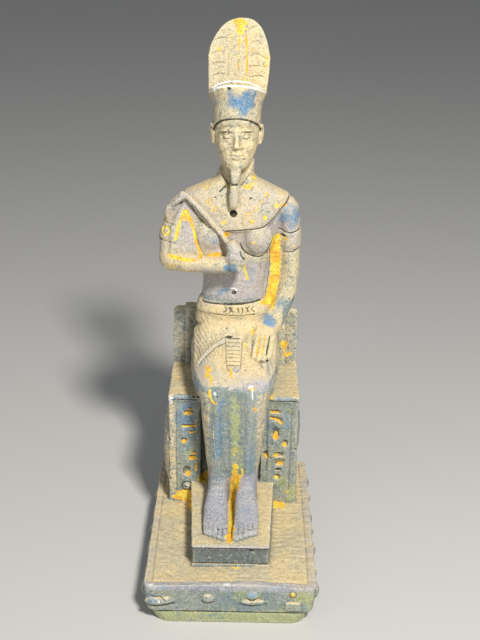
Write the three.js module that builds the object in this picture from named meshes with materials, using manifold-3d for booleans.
// Seated god statue, cast in one piece: a figure on a block throne, its feet on a footrest,
// on a rectangular base. Millimetres, +Z up, the figure faces -Y, +X is the viewer's right.
// The origin is on the ground under the middle of the base.

import * as THREE from 'three';
import { mergeVertices } from 'three/addons/utils/BufferGeometryUtils.js';
import Module from 'manifold-3d';

const wasm = await Module();
wasm.setup();

// Base: a block on a lower strip, with a groove between them
const BASE_WIDTH = 91.5;
const BASE_DEPTH = 142;
const BASE_TOP = 22;
const BASE_FRONT = -BASE_DEPTH / 2;
const BASE_CROWN = 2.2;
const BASE_CORNER = 4;
const BASE_WAIST = 0.955;
const STRIP_TOP = 6.2;
const GROOVE_HEIGHT = 0.9;
const GROOVE_DEPTH = 0.9;
const STRIP_FOOT_INSET = 4.5;
const BOSS_PROUD = 2.6;

// Footrest: three layers, a little wider at the back
const REST_TOP = 35.6;
const REST_FRONT = -52.8;
const REST_BACK = 20;
const REST_FRONT_WIDTH = 41.8;
const REST_BACK_WIDTH = 49.2;
const REST_LIP = 0.7;
const REST_LIP_HEIGHT = 1.6;
const REST_PLINTH_HEIGHT = 2.6;

// Throne: block, recess behind the shins, low backrest
const SEAT_WIDTH = 75;
const SEAT_FRONT = 16.7;
const SEAT_TOP = 91.4;
const SEAT_SLAB = 3;
const SEAT_OVERHANG = 0.6;
const THRONE_BACK = 69.5;
const BACKREST_FRONT = 64.5;
const BACKREST_TOP = 127.5;
const BACKREST_CORNER = 4;
const BACK_STEP_TOP = 129.6;
const BACK_STEP_HALF = 30.3;
const JAMB_WIDTHS = [18.5, 21.5];
const RECESS_DEPTH = 5;
const SIDE_PANEL_BORDER = 6;
const SIDE_PANEL_DEPTH = 0.9;
const PILLAR_HALF = 15;
const PILLAR_TOP = 204;

// Figure: the shared middle line and the heights that the body hangs on
const BODY_X = -0.9;
const BODY_Y = 46;
const BELT_BOTTOM = 135.8;
const BELT_TOP = 142.6;
const BELT_PROUD = 1.1;
const COLLAR_PROUD = 1.6;
const ARM_WEB_FRONT = 30;
const ARM_WEB_LEAN = 0.2;
const ROUND = 12;
const END_TURNS = [50, 0];

// Head and crown
const FACE_FRONT = 29;
const HEAD_PITCH = 5;
const CAP_SEGMENTS = 20;
const PLUME_BASE = 256;
const PLUME_TOP = 300;
const PLUME_HALF = 16.7;
const PLUME_THICK = 7;
const PLUME_LEAN = 8;
const BARB_ROWS = 5;
const BARB_DEPTH = 0.4;
const SHAFT_LINES = [-6.6, -5, 0, 4.4];

const stone = new THREE.MeshStandardMaterial({ color: 0x7a8088, roughness: 0.82, metalness: 0 });

function rad(degrees) {
  return THREE.MathUtils.degToRad(degrees);
}

function vec(x, y, z) {
  return new THREE.Vector3(x, y, z);
}

function mix(a, b, t) {
  return a + (b - a) * t;
}

// A closed three.js geometry as a solid, with its faces pointing out
function solidOf(geometry) {
  const bare = geometry.clone();
  bare.deleteAttribute('normal');
  bare.deleteAttribute('uv');
  const merged = mergeVertices(bare, 1e-4);
  const points = merged.getAttribute('position').array;
  const corners = Uint32Array.from(merged.index.array);
  if (signedVolume(points, corners) < 0) corners.reverse();
  return new wasm.Manifold(
    new wasm.Mesh({ numProp: 3, vertProperties: Float32Array.from(points), triVerts: corners }),
  );
}

function signedVolume(points, corners) {
  let sum = 0;
  for (let i = 0; i < corners.length; i += 3) {
    const [a, b, c] = [0, 1, 2].map((k) => vec(0, 0, 0).fromArray(points, 3 * corners[i + k]));
    sum += a.dot(b.cross(c));
  }
  return sum / 6;
}

function join(solids) {
  return solids.reduce((whole, piece) => whole.add(piece));
}

// Moves every vertex of a geometry by a function of its place
function warp(geometry, shape) {
  const place = geometry.getAttribute('position');
  const point = vec(0, 0, 0);
  for (let i = 0; i < place.count; i += 1) {
    point.fromBufferAttribute(place, i);
    shape(point);
    place.setXYZ(i, point.x, point.y, point.z);
  }
  return geometry;
}

// A skin over a row of rings. A ring has a middle and two half axes; power 2 gives an ellipse,
// more gives a squarer section. ripple(turn, row) moves the skin in or out by a share.
function loft(rings, { sides = ROUND, power = 2, ripple = null } = {}) {
  const rows = rings.length - 1;
  const tube = new THREE.CylinderGeometry(1, 1, 1, sides, rows);
  const soften = 2 / power;
  warp(tube, (p) => {
    const row = Math.round((0.5 - p.y) * rows);
    const ring = rings[row];
    const reach = Math.hypot(p.x, p.z) < 0.5 ? 0 : 1;
    const turn = Math.atan2(p.z, p.x);
    const across = Math.sign(p.x) * Math.abs(Math.cos(turn)) ** soften;
    const along = Math.sign(p.z) * Math.abs(Math.sin(turn)) ** soften;
    const grow = reach * (ripple ? 1 + ripple(turn, row / rows) : 1);
    p.copy(ring.at).addScaledVector(ring.u, across * grow).addScaledVector(ring.v, along * grow);
  });
  return solidOf(tube);
}

// Level rings from rows of [height, middle x, middle y, half width, half depth]
function levelRings(rows, proud = 0) {
  return rows.map(([z, x, y, halfWidth, halfDepth]) => ({
    at: vec(x, y, z),
    u: vec(halfWidth + proud, 0, 0),
    v: vec(0, halfDepth + proud, 0),
  }));
}

// A limb along rows of [x, y, z, half width, half thickness], with rounded ends.
// The half width lies along the side vector as nearly as the limb's direction allows.
function limb(rows, side, options = {}) {
  const ends = options.ends ?? END_TURNS;
  const points = rows.map(([x, y, z]) => vec(x, y, z));
  const last = rows.length - 1;
  const rings = [];
  rows.forEach(([, , , halfWidth, halfThick], i) => {
    const before = points[Math.max(i - 1, 0)];
    const after = points[Math.min(i + 1, last)];
    const way = after.clone().sub(before).normalize();
    const u = side.clone().addScaledVector(way, -side.dot(way)).normalize();
    const v = way.clone().cross(u);
    const outward = i === 0 ? -1 : 1;
    const bends = i === 0 ? ends : i === last ? [...ends].reverse() : [0];
    for (const bend of bends) {
      const size = Math.cos(rad(bend));
      const reach = outward * Math.sin(rad(bend)) * Math.min(halfWidth, halfThick);
      rings.push({
        at: points[i].clone().addScaledVector(way, reach),
        u: u.clone().multiplyScalar(halfWidth * size),
        v: v.clone().multiplyScalar(halfThick * size),
      });
    }
  });
  return loft(rings, options);
}

function ball(x, y, z, rx, ry, rz, turn = [0, 0, 0], sides = 6) {
  const geometry = new THREE.SphereGeometry(1, sides, Math.ceil(sides * 0.6));
  geometry.scale(rx, ry, rz);
  const angles = new THREE.Euler(...turn.map(rad));
  geometry.applyMatrix4(new THREE.Matrix4().makeRotationFromEuler(angles));
  geometry.translate(x, y, z);
  return solidOf(geometry);
}

function block(x0, x1, y0, y1, z0, z1) {
  const geometry = new THREE.BoxGeometry(x1 - x0, y1 - y0, z1 - z0);
  geometry.translate((x0 + x1) / 2, (y0 + y1) / 2, (z0 + z1) / 2);
  return solidOf(geometry);
}

// An outline in the XZ plane carried along Y
function slab(outline, y0, y1, options = {}) {
  const geometry = new THREE.ExtrudeGeometry(outline, {
    depth: y1 - y0,
    bevelEnabled: false,
    curveSegments: 8,
    ...options,
  });
  geometry.rotateX(Math.PI / 2);
  geometry.translate(0, y1, 0);
  return solidOf(geometry);
}

// A level layer whose outline is a rectangle with round corners. Its sides are divided into
// steps, so that a shape function can crown the edge and draw it in.
function layer([width, depth, corner], [z0, z1], steps = 1, shape = null) {
  const points = [];
  for (let k = 0; k < 4; k += 1) {
    const sx = k === 0 || k === 3 ? 1 : -1;
    const sy = k < 2 ? 1 : -1;
    for (let i = 0; i <= 2; i += 1) {
      const turn = rad(90 * k + 45 * i);
      points.push(new THREE.Vector2(
        sx * (width / 2 - corner) + corner * Math.cos(turn),
        sy * (depth / 2 - corner) + corner * Math.sin(turn),
      ));
    }
    const nextTurn = rad(90 * (k + 1));
    const from = points[points.length - 1];
    const nx = k === 2 || k === 3 ? 1 : -1;
    const ny = k === 0 || k === 3 ? 1 : -1;
    const to = new THREE.Vector2(
      nx * (width / 2 - corner) + corner * Math.cos(nextTurn),
      ny * (depth / 2 - corner) + corner * Math.sin(nextTurn),
    );
    for (let i = 1; i < steps; i += 1) points.push(from.clone().lerp(to, i / steps));
  }
  const geometry = new THREE.ExtrudeGeometry(new THREE.Shape(points), {
    depth: z1 - z0,
    steps: shape ? 2 : 1,
    bevelEnabled: false,
  });
  geometry.translate(0, 0, z0);
  return solidOf(shape ? warp(geometry, shape) : geometry);
}

// Base
function base() {
  const groove = GROOVE_DEPTH * 2;
  const stripSize = [BASE_WIDTH - 4, BASE_DEPTH - 1, BASE_CORNER + 3];
  const strip = layer(stripSize, [0, STRIP_TOP], 1, (p) => {
    const drawnIn = STRIP_FOOT_INSET * (1 - p.z / STRIP_TOP);
    p.x *= 1 - drawnIn / (BASE_WIDTH / 2);
  });
  const neckSize = [BASE_WIDTH - 4 - groove, BASE_DEPTH - groove, BASE_CORNER + 2];
  const neck = layer(neckSize, [STRIP_TOP - 1, STRIP_TOP + GROOVE_HEIGHT + 1]);
  const upperSize = [BASE_WIDTH, BASE_DEPTH, BASE_CORNER];
  const upper = layer(upperSize, [STRIP_TOP + GROOVE_HEIGHT, BASE_TOP], 5, (p) => {
    const rise = (p.z - STRIP_TOP) / (BASE_TOP - STRIP_TOP);
    const front = THREE.MathUtils.clamp(-p.y / BASE_DEPTH + 0.5, 0, 1);
    const across = p.x / (BASE_WIDTH / 2);
    p.x *= mix(BASE_WAIST, 1, Math.sqrt(rise));
    p.z += rise * BASE_CROWN * front * (1 - across * across);
  });
  return join([strip, neck, upper, ...baseMarks()]);
}

// Raised marks round the base: domes, bars and plates in a row on each side
function baseMarks() {
  const front = BASE_FRONT + 0.4;
  const marks = [
    ball(-37, front, 13.6, 9, BOSS_PROUD, 2.9, [0, -4, 0], 8),
    ball(-11.5, front, 15.6, 3.9, BOSS_PROUD, 2.9, [0, 0, 0], 8),
    ball(12, front, 13.9, 8.2, BOSS_PROUD, 1.9, [0, 0, 0], 8),
    ball(11.6, front, 17.7, 4, BOSS_PROUD, 2.7, [0, 0, 0], 8),
    block(29.4, 37.2, front - 1.5, front + 1, 8.6, 13.6),
    ball(33.4, front, 18.4, 2, 1.6, 2),
  ];
  const rows = 7;
  for (const side of [-1, 1]) {
    for (let i = 0; i < rows; i += 1) {
      const y = mix(BASE_FRONT + 11, -BASE_FRONT - 16, i / (rows - 1));
      const long = i % 2 === 0 ? 6.5 : 4;
      const tall = i % 2 === 0 ? 4 : 3;
      const z = i % 3 === 1 ? 12.5 : 15;
      marks.push(ball(side * (BASE_WIDTH / 2 - 0.6), y, z, BOSS_PROUD + 0.3, long, tall));
    }
  }
  return marks;
}

// Footrest
function footrest() {
  const top = restLayer(0, REST_TOP - REST_LIP_HEIGHT, REST_TOP);
  const body = restLayer(REST_LIP, BASE_TOP, REST_TOP - REST_LIP_HEIGHT + 0.5);
  const plinth = restLayer(0, BASE_TOP - 2, BASE_TOP + REST_PLINTH_HEIGHT);
  return join([top, body, plinth]);
}

function restLayer(inset, z0, z1) {
  const depth = REST_BACK - REST_FRONT - inset;
  const geometry = new THREE.BoxGeometry(1, depth, z1 - z0);
  geometry.translate(0, REST_FRONT + inset + depth / 2, (z0 + z1) / 2);
  return solidOf(warp(geometry, (p) => {
    const back = (p.y - REST_FRONT) / (REST_BACK - REST_FRONT);
    p.x *= mix(REST_FRONT_WIDTH, REST_BACK_WIDTH, back) - 2 * inset;
    p.x -= 0.2;
  }));
}

// Throne
function throne() {
  const half = SEAT_WIDTH / 2;
  const body = block(-half, half, SEAT_FRONT + SEAT_OVERHANG, THRONE_BACK,
    BASE_TOP - 1, SEAT_TOP - SEAT_SLAB);
  const seat = block(-half - 0.4, half + 0.4, SEAT_FRONT - 0.2, THRONE_BACK,
    SEAT_TOP - SEAT_SLAB, SEAT_TOP);
  const recess = block(-half + JAMB_WIDTHS[0], half - JAMB_WIDTHS[1], 0, SEAT_FRONT + RECESS_DEPTH,
    REST_TOP, SEAT_TOP - SEAT_SLAB);
  const carved = body.subtract(join([recess, ...sidePanels(half), ...jambMarks()]));
  const boss = ball(-half + 10.5, SEAT_FRONT + SEAT_OVERHANG, 32.5, 2.6, 1.8, 2.2);
  return join([carved, seat, backrest(half), boss, ...sideMarks(half)]);
}

// A sunk field on each side with a smaller raised square low at the back
function sidePanels(half) {
  const panels = [];
  for (const side of [-1, 1]) {
    const x0 = side < 0 ? -half - 1 : half - SIDE_PANEL_DEPTH;
    const x1 = side < 0 ? -half + SIDE_PANEL_DEPTH : half + 1;
    const border = SIDE_PANEL_BORDER;
    const field = block(x0, x1, SEAT_FRONT + border, THRONE_BACK - border,
      BASE_TOP + border, SEAT_TOP - SEAT_SLAB - border);
    const square = block(x0 - 1, x1 + 1, THRONE_BACK - border - 24, THRONE_BACK - border - 2,
      BASE_TOP + border + 2, BASE_TOP + border + 28);
    panels.push(field.subtract(square));
  }
  return panels;
}

function backrest(half) {
  const outline = new THREE.Shape();
  const corner = BACKREST_CORNER;
  outline.moveTo(-half, SEAT_TOP - 5);
  outline.lineTo(half, SEAT_TOP - 5);
  outline.lineTo(half, BACKREST_TOP - corner);
  outline.quadraticCurveTo(half, BACKREST_TOP, half - corner, BACKREST_TOP);
  outline.lineTo(-half + corner, BACKREST_TOP);
  outline.quadraticCurveTo(-half, BACKREST_TOP, -half, BACKREST_TOP - corner);
  const board = slab(outline, BACKREST_FRONT, THRONE_BACK);
  const step = block(-BACK_STEP_HALF, BACK_STEP_HALF, BACKREST_FRONT - 2, THRONE_BACK,
    SEAT_TOP, BACK_STEP_TOP);
  const pillar = block(-PILLAR_HALF, PILLAR_HALF, BODY_Y, THRONE_BACK - 3, SEAT_TOP, PILLAR_TOP);
  return join([board, step, pillar]);
}

// Shallow marks sunk down the two jambs: bars, discs and lenses
function jambMarks() {
  const face = SEAT_FRONT + SEAT_OVERHANG;
  const left = -26.5;
  const right = 25;
  return [
    ball(left + 0.5, face, 80.8, 3.4, 1, 1.3),
    block(left - 4, left + 4, face - 1, face + 1, 71, 72.4),
    ball(left - 2.4, face, 62.5, 1.7, 1.2, 1.7),
    ball(left + 3, face, 51.3, 3, 1, 1.4, [0, 20, 0]),
    ball(left - 0.7, face, 42, 2.6, 1.3, 3),
    block(right - 3.2, right + 2.4, face - 1, face + 1, 81, 82.6),
    block(right - 3.2, right + 3, face - 1, face + 1, 76.6, 78.2),
    ball(right - 0.4, face, 67.7, 2, 1, 4.6),
    ball(right + 5.2, face, 61.6, 1.6, 1.2, 1.9),
    ball(right + 1.8, face, 53.9, 3.2, 1.2, 1.6),
    ball(right + 2.2, face, 48.4, 3.6, 1.3, 1.7),
    ball(right + 1.2, face, 39.3, 1.5, 1.2, 1.5),
    ball(right - 5.8, face, 53.7, 1.4, 1, 2.6),
  ];
}

// Swellings on the throne's sides, which show in the outline from the front
function sideMarks(half) {
  return [
    ball(-half + 0.8, SEAT_FRONT + 17, 54, 5, 15.6, 29, [0, 0, 0], 10),
    ball(half - 0.8, SEAT_FRONT + 17, 66, 2.6, 15.6, 16, [0, 0, 0], 10),
  ];
}

// Body: [height, middle x, middle y, half width, half depth]
const TRUNK = [
  [128, -0.6, 47, 23.4, 16],
  [136, -1, 46.5, 21.4, 14.4],
  [143, -1.6, 46, 18.6, 12.4],
  [152, -1.2, 46, 17.8, 12.2],
  [163, -0.4, 46, 19, 12.4],
  [177, 0, 46, 22.6, 14],
  [190, -0.4, 46, 26.6, 14.8],
  [199, -0.8, 46, 28.8, 14],
  [204.4, -1, 46, 28.8, 12],
  [208.2, -1, 46, 20.6, 10.8],
  [212.6, -0.9, 46, 11, 9.4],
  [216, -0.9, 45.5, 8.4, 8.8],
  [230, -0.9, 44.5, 8.4, 8.6],
];

function trunk(proud = 0) {
  return loft(levelRings(TRUNK, proud), { sides: 20, power: 2.3 });
}

function chest() {
  return join([
    ball(11.4, 36.6, 180.6, 10, 6.8, 11.4, [8, 0, 0], 10),
    ball(-15.4, 36.6, 180.6, 10, 6.8, 11.4, [8, 0, 0], 10),
  ]);
}

// Broad collar: a skin over the shoulders, cut to its outline seen from the front
function collar() {
  const outline = new THREE.Shape();
  outline.moveTo(-34, 214);
  outline.lineTo(-33.4, 208);
  outline.lineTo(-29, 203.4);
  outline.lineTo(-22, 193.5);
  outline.quadraticCurveTo(-12, 185.6, 0, 185.8);
  outline.quadraticCurveTo(12, 186.4, 16.6, 188.6);
  outline.lineTo(21.4, 193.4);
  outline.lineTo(25.6, 199.2);
  outline.lineTo(33, 206.4);
  outline.lineTo(33, 224);
  outline.lineTo(8.4, 224);
  outline.lineTo(1.4, 209.6);
  outline.lineTo(-5, 209.6);
  outline.lineTo(-10, 219);
  outline.lineTo(-34, 219);
  const cape = slab(outline, BODY_Y - 24, BODY_Y + 20);
  return trunk(COLLAR_PROUD).intersect(cape);
}

function belt() {
  const band = block(-40, 40, 0, 80, BELT_BOTTOM, BELT_TOP);
  const clasp = block(BODY_X - 5.5, BODY_X + 6.5, 31, 36, BELT_BOTTOM - 0.6, BELT_TOP - 0.4);
  return join([trunk(BELT_PROUD).intersect(band), clasp]);
}

// Lap: the kilt over both thighs, [depth y, top height, half width, under side]
const LAP = [
  [66, 126, 24.6, 90.4],
  [42, 134.4, 25.4, 90.4],
  [34, 134.4, 25, 90.4],
  [29.6, 131, 24.8, 90.4],
  [23, 124.2, 24.6, 90.4],
  [12, 119.2, 23.6, 90.4],
  [4, 115.8, 22, 92],
  [-2, 112.6, 19.6, 96],
  [-6, 109.4, 15.6, 100],
  [-7.6, 106.6, 11, 102],
];
const FLUTES = 8;
const FLUTE_DEPTH = 0.022;

function lap() {
  const rings = LAP.map(([y, top, halfWidth, under]) => ({
    at: vec(0.1, y, (top + under) / 2),
    u: vec(halfWidth, 0, 0),
    v: vec(0, 0, (top - under) / 2),
  }));
  const ripple = (turn, row) => {
    const onSide = Math.abs(Math.cos(turn)) ** 1.5;
    const fade = THREE.MathUtils.smoothstep(1 - row, 0.05, 0.3);
    return FLUTE_DEPTH * onSide * fade * Math.cos(turn * FLUTES * 2);
  };
  return loft(rings, { sides: FLUTES * 4, power: 2.6, ripple });
}

// The ridged tab down the middle of the lap, and the edge of the overlap beside it
const TAB_RIDGES = 8;

function tab() {
  const rows = [];
  const steps = TAB_RIDGES * 2;
  for (let i = 0; i <= steps; i += 1) {
    const t = i / steps;
    const y = mix(25, 5.5, t);
    rows.push([-0.8, y, lapTop(y), mix(4.9, 4.1, t), i % 2 === 0 ? 0.5 : 1.5]);
  }
  const tip = ball(-0.5, 2, lapTop(2) - 0.1, 3.9, 4.4, 1.5, [20, 0, 0]);
  return join([limb(rows, vec(1, 0, 0), { sides: 6, power: 3, ends: [40, 0] }), tip]);
}

function lapTop(y) {
  const i = LAP.findIndex(([at]) => at < y);
  const [y0, z0] = LAP[i - 1];
  const [y1, z1] = LAP[i];
  return mix(z0, z1, (y - y0) / (y1 - y0));
}

function overlap() {
  const steps = 5;
  const rows = [];
  for (let i = 0; i <= steps; i += 1) {
    const t = i / steps;
    const x = mix(-4.5, -21.6, t);
    const y = mix(25.5, 13, t);
    rows.push([x, y, lapTop(y) - 0.3 - 6 * t ** 4, 1.3, 0.8]);
  }
  return limb(rows, vec(0, 1, 0), { sides: 6, ends: [40, 0] });
}

// Legs: shins joined by the casting, [height, middle x, middle y, half width, half depth]
const SHIN = [
  [111, 9.2, 2.4, 6, 5.6],
  [108, 9.4, 1.8, 8.8, 8.6],
  [103, 9.6, 1.4, 9.8, 10.2],
  [95, 9.4, 1.6, 9.6, 10.6],
  [82, 9, 2.4, 9, 10.2],
  [66, 8.4, 3.4, 7.9, 9.6],
  [52, 7.8, 3.6, 6.8, 8.8],
  [44, 7.7, 2.6, 6.4, 9.2],
  [36, 7.7, 0.6, 6.2, 9.8],
];

const LEG_WEB = [[0.5, 34.2], [-2.4, 47], [-5, 58], [-6.4, 70], [-7.6, 86], [-8, 101], [-5.8, 108]];

function legs() {
  const pieces = [];
  for (const side of [-1, 1]) {
    const rows = SHIN.map(([z, x, y, w, d]) => [z, side * x + 0.2, y, w, d]);
    pieces.push(loft(levelRings(rows), { sides: 12, power: 2.2 }));
    pieces.push(foot(side));
  }
  pieces.push(legWeb());
  return join(pieces);
}

// The casting between the shins: nearly flush at the knees, deeper down to the ankles
function legWeb() {
  const outline = new THREE.Shape();
  outline.moveTo(SEAT_FRONT + 6, LEG_WEB[0][1]);
  for (const [y, z] of LEG_WEB) outline.lineTo(y, z);
  outline.lineTo(SEAT_FRONT + 6, LEG_WEB[LEG_WEB.length - 1][1]);
  const geometry = new THREE.ExtrudeGeometry(outline, { depth: 12, bevelEnabled: false });
  geometry.translate(0, 0, -6);
  geometry.rotateX(Math.PI / 2);
  geometry.rotateZ(Math.PI / 2);
  return solidOf(geometry);
}

// A foot: the instep, the sole and five toes
function foot(side) {
  const x = side < 0 ? -8.4 : 7.6;
  const pieces = [
    limb([
      [x, 3, 43, 5.8, 7.5],
      [x, -10, 42.2, 6, 6.8],
      [x + side * 0.6, -22, 39.6, 7, 4.9],
      [x + side * 0.6, -34, 37.8, 7, 3.2],
      [x + side * 0.4, -41.6, 37.4, 6.6, 2.4],
    ], vec(1, 0, 0), { sides: 10, power: 2.4 }),
  ];
  const toes = 5;
  for (let i = 0; i < toes; i += 1) {
    const t = i / (toes - 1);
    const across = x - side * mix(5, -5.4, t);
    const long = mix(7.4, 5, t);
    const size = mix(1.9, 1.15, t);
    pieces.push(limb([
      [across, -39.5 + 2.5 * t, 37.8, size, size],
      [across + side * 0.2, -39.5 + 2.5 * t - long, 37.2, size, size * 0.95],
    ], vec(1, 0, 0), { sides: 5 }));
  }
  return join(pieces);
}

// Bent arm, on the viewer's left: across the chest to a fist
function bentArm() {
  const upper = limb([
    [-31.4, 45.5, 195.6, 7.6, 8.6],
    [-34.6, 44.5, 188, 6.8, 8.2],
    [-37.6, 42, 178, 6.2, 7.8],
    [-38.2, 38.5, 167.5, 5.8, 7],
  ], vec(1, 0, 0));
  const fore = limb([
    [-37.4, 37, 167.2, 6.4, 6.6],
    [-27, 30, 167.6, 5.2, 6.2],
    [-14, 25.6, 168, 4.7, 5.6],
    [-6, 23.4, 169.2, 4.8, 5.2],
  ], vec(0, 0, 1));
  const fist = limb([
    [-2.6, 22.6, 180.5, 3.6, 4.6],
    [-0.6, 21.8, 175.5, 5, 5.6],
    [-0.2, 21.6, 169.6, 4.6, 5.2],
  ], vec(1, 0, 0), { sides: 10, power: 2.3 });
  const pieces = [upper, fore, fist, armlet([-36.4, 43.4, 185], [-37.8, 42.2, 177.5], 6.9, 8.6)];
  const knuckles = 4;
  for (let i = 0; i < knuckles; i += 1) {
    const z = mix(179, 167.6, i / (knuckles - 1));
    const finger = [[0.4, 24, z, 1.7, 1.6], [1.6, 18.6, z - 0.3, 1.7, 1.6]];
    pieces.push(limb(finger, vec(0, 0, 1), { sides: 5 }));
  }
  const web = new THREE.Shape();
  web.moveTo(-29, 203);
  web.lineTo(-37, 186);
  web.lineTo(-37, 168);
  web.lineTo(-6, 168);
  web.lineTo(-14, 186);
  pieces.push(slab(web, ARM_WEB_FRONT, BODY_Y + 2).transform(leaningBack(ARM_WEB_LEAN, 168)));
  return join(pieces);
}

// A shear that moves things back in step with their height above a level
function leaningBack(lean, level) {
  return [1, 0, 0, 0, 0, 1, 0, 0, 0, lean, 1, 0, 0, -lean * level, 0, 1];
}

// Straight arm, on the viewer's right: down to a hand flat on the thigh
function straightArm() {
  const arm = limb([
    [28, 45.5, 196.6, 6.8, 8.4],
    [29.9, 45.5, 188, 6, 8],
    [30.8, 45.5, 174, 5.4, 7.3],
    [31, 44.7, 157, 5.6, 6.8],
    [29.4, 42.6, 146.5, 5.6, 6.4],
    [25.4, 38.4, 138, 5.7, 5.9],
    [20.6, 34.4, 131, 6.2, 5],
    [17.4, 30.6, 126.8, 6.8, 4],
  ], vec(1, 0, 0));
  const pieces = [arm, hand(), armlet([30.6, 45.5, 184.6], [30.8, 45.5, 174.6], 6.1, 8.1)];
  const web = new THREE.Shape();
  web.moveTo(18, 188);
  web.lineTo(31, 188);
  web.lineTo(31, 150);
  web.lineTo(24, 136);
  web.lineTo(14, 136);
  pieces.push(slab(web, 41.5, BODY_Y + 9));
  return join(pieces);
}

function armlet(from, to, halfWidth, halfDepth) {
  const rows = [[...from, halfWidth, halfDepth], [...to, halfWidth, halfDepth]];
  return limb(rows, vec(1, 0, 0)).intersect(block(-60, 60, 0, 90, to[2], from[2]));
}

// The flat hand: palm, four fingers pointing forward over the knee, and the thumb
function hand() {
  const pieces = [
    limb([
      [17.6, 32.6, 127.6, 6.2, 4],
      [16.6, 27.6, 126, 7, 3.6],
      [16, 22.6, 123.4, 7.2, 3],
    ], vec(1, 0, 0), { sides: 10, power: 2.5 }),
    limb([[10.8, 30, 124.6, 1.9, 2.2], [8.2, 24, 122.6, 1.8, 2], [8.4, 16.5, 119.8, 1.5, 1.6]],
      vec(1, 0, 0), { sides: 6 }),
  ];
  const fingers = 4;
  const tips = [10.6, 8.6, 8.6, 10.8];
  for (let i = 0; i < fingers; i += 1) {
    const x = mix(12.6, 21.4, i / (fingers - 1));
    const tipX = mix(10.9, 19.4, i / (fingers - 1));
    const middleY = mix(24, tips[i], 0.55);
    pieces.push(limb([
      [x, 24, 124, 1.9, 2],
      [mix(x, tipX, 0.6), middleY, lapTop(middleY) + 1.4, 1.8, 1.8],
      [tipX, tips[i] + 1.4, lapTop(tips[i] + 1.4) + 0.2, 1.6, 1.6],
    ], vec(1, 0, 0), { sides: 5 }));
  }
  return join(pieces);
}

// Flail: a bar from the fist to the shoulder, its end bent over the upper arm like a leaf
function flail() {
  const bar = limb([
    [-2.4, 25.4, 177, 1.8, 2],
    [-9, 30, 185.4, 1.75, 1.9],
    [-18, 30.8, 195.6, 1.7, 1.9],
    [-27.4, 34.8, 204.4, 1.7, 1.9],
    [-31, 37, 205.6, 1.8, 1.8],
  ], vec(1, 0, 1), { sides: 8, power: 3 });
  const leaf = limb([
    [-30, 36, 204.4, 2.2, 2],
    [-34, 37.8, 201, 3.6, 2.2],
    [-37.6, 39, 196.4, 3.4, 2.2],
    [-39.4, 40, 192, 1.7, 1.8],
  ], vec(1, 0, 1), { sides: 8 });
  return join([bar, leaf]);
}

// Head: [height, middle x, middle y, half width, half depth]
const HEAD = [
  [219.8, BODY_X, 37.6, 4.4, 6.6],
  [221.4, BODY_X, 37.4, 6.6, 8.4],
  [224.6, BODY_X, 39, 8.8, 10.4],
  [229, BODY_X, 41.2, 10.7, 12.6],
  [234, BODY_X, 43, 12, 14.2],
  [239, BODY_X, 44, 12.3, 15],
  [245, BODY_X, 44.6, 11.6, 14.4],
  [250, BODY_X, 45, 9, 11],
];

function head() {
  const x = BODY_X;
  const y = FACE_FRONT;
  const features = [
    loft(levelRings(HEAD), { sides: 16, power: 2.15 }),
    limb([[x, y + 1.6, 240.4, 1, 1.8], [x, y - 0.2, 236.4, 1.1, 2], [x, y - 1.4, 233, 1.7, 1.9]],
      vec(1, 0, 0), { sides: 8 }),
    ball(x, y + 0.4, 228.2, 4, 1.8, 0.9),
    ball(x, y + 0.6, 226.6, 3.2, 1.9, 1),
    ball(x, y + 1.6, 223, 3.8, 2.8, 2.4),
  ];
  for (const side of [-1, 1]) {
    features.push(ball(x + side * 5, y + 2.2, 238, 2.8, 1.8, 1.4, [0, 0, side * 14]));
    features.push(ball(x + side * 5.3, y + 1.6, 241.4, 4, 1.6, 0.7, [0, 0, side * 16]));
    features.push(ball(x + side * 13, 43.4, 237.4, 1.7, 3.6, 5, [10, 0, -side * 24]));
  }
  const middle = [x, 44, 238];
  return join(features)
    .translate(middle.map((v) => -v))
    .rotate([-HEAD_PITCH, 0, 0])
    .translate(middle);
}

// Long divine beard: a straight bar under the chin, a narrower neck, a rounded lower end
function beard() {
  return join([
    limb([[-1.2, 31, 224, 3.5, 2.6], [-1.2, 28.6, 219, 2.9, 2.4], [-1.4, 27.4, 215.4, 2.2, 2.1]],
      vec(1, 0, 0), { sides: 8, power: 3.4 }),
    limb([[-1.5, 27.6, 212.8, 2.8, 2.4], [-1.8, 28, 206, 2.8, 2.4], [-2, 28.6, 201.4, 2.6, 2.2]],
      vec(1, 0, 0), { sides: 8, power: 3.4 }),
    block(-3, 0, 28, 40, 202, 222),
  ]);
}

// Cap: rings leaning back, [height, middle y, half width, half depth, slant in degrees]
const CAP = [
  [237.6, 45, 10.8, 13.8, 24],
  [239.2, 45, 12.9, 16.4, 24],
  [241.4, 45, 13, 16.5, 23],
  [251.4, 45.6, 13.3, 15.6, 21],
  [256.6, 46, 14.6, 15.6, 20],
  [260.4, 46.4, 16.3, 16, 20],
  [261.4, 46.6, 15.4, 15.2, 20],
];

function cap() {
  const rings = CAP.map(([z, y, halfWidth, halfDepth, slant]) => ({
    at: vec(BODY_X - 0.2, y, z),
    u: vec(halfWidth, 0, 0),
    v: vec(0, halfDepth * Math.cos(rad(slant)), -halfDepth * Math.sin(rad(slant))),
  }));
  return loft(rings, { sides: CAP_SEGMENTS });
}

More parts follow.
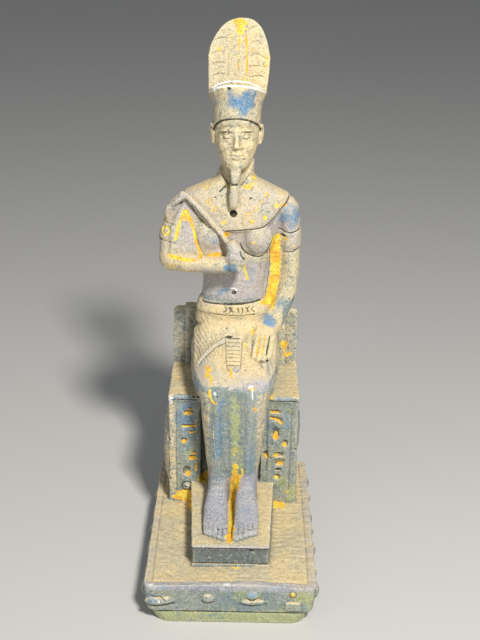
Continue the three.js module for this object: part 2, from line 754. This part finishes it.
// Two tall plumes side by side, cut as one slab, with a shaft groove each and curved barbs
function plumes() {
  const outline = new THREE.Shape();
  const shoulder = PLUME_TOP - 21;
  outline.moveTo(-PLUME_HALF + 2.4, PLUME_BASE);
  outline.lineTo(PLUME_HALF - 3, PLUME_BASE);
  outline.lineTo(PLUME_HALF - 1.4, PLUME_BASE + 6);
  outline.quadraticCurveTo(PLUME_HALF + 0.2, shoulder - 6, PLUME_HALF, shoulder + 1);
  outline.bezierCurveTo(PLUME_HALF - 1.4, shoulder + 11, 11.4, PLUME_TOP - 1.6, 5.4, PLUME_TOP - 0.5);
  outline.quadraticCurveTo(2, PLUME_TOP + 0.3, -1.5, PLUME_TOP - 0.4);
  outline.bezierCurveTo(-9, PLUME_TOP - 2, -PLUME_HALF + 1.6, shoulder + 12, -PLUME_HALF, shoulder + 1);
  outline.lineTo(-PLUME_HALF + 0.2, PLUME_BASE + 6);
  const grooves = SHAFT_LINES.map((x) => (
    block(x - 0.25, x + 0.25, 0, 0.5, PLUME_BASE + 6, PLUME_TOP - 4)
  ));
  let board = slab(outline, 0, PLUME_THICK).subtract(join(grooves));
  for (const side of [-1, 1]) {
    for (let i = 0; i < BARB_ROWS; i += 1) {
      board = board.subtract(barb(side, mix(PLUME_BASE + 9, PLUME_TOP - 9, i / (BARB_ROWS - 1))));
    }
  }
  return board
    .translate([0, 0, -PLUME_BASE])
    .rotate([-PLUME_LEAN, 0, 0])
    .translate([BODY_X + 0.6, 44.5, PLUME_BASE]);
}

// One barb: a thin arc that rises from the shaft and falls to the edge
function barb(side, z) {
  const inner = side * 7;
  const outer = side * (PLUME_HALF - 1.6);
  const arc = new THREE.Shape();
  arc.moveTo(inner, z);
  arc.quadraticCurveTo((inner + outer) / 2, z + 3.6, outer, z - 1.4);
  arc.lineTo(outer, z - 1.9);
  arc.quadraticCurveTo((inner + outer) / 2, z + 3, inner, z - 0.5);
  return slab(arc, -1, BARB_DEPTH, { curveSegments: 2 });
}

// The casting as one solid, then set on the ground with its base centred on the origin
function statue() {
  const whole = join([
    base(), footrest(), throne(), trunk(), chest(), collar(), belt(), lap(), tab(), overlap(),
    legs(), bentArm(), straightArm(), flail(), head(), beard(), cap(), plumes(),
  ]);
  const navel = ball(-0.9, 33.2, 148.4, 1.3, 1.6, 1);
  const dimple = ball(-2, 29, 196.4, 1.9, 3.4, 1.9);
  return whole.subtract(navel).subtract(dimple);
}

function meshOf(solid, name, material) {
  const { vertProperties, triVerts } = solid.getMesh();
  const geometry = new THREE.BufferGeometry();
  geometry.setAttribute('position', new THREE.BufferAttribute(vertProperties, 3));
  geometry.setIndex(new THREE.BufferAttribute(triVerts, 1));
  geometry.computeBoundingBox();
  const { min, max } = geometry.boundingBox;
  geometry.translate(-(min.x + max.x) / 2, -(min.y + max.y) / 2, -min.z);
  geometry.computeVertexNormals();
  const mesh = new THREE.Mesh(geometry, material);
  mesh.name = name;
  return mesh;
}

const part = new THREE.Group();
part.add(meshOf(statue(), 'seated_god_statue', stone));

export default part;
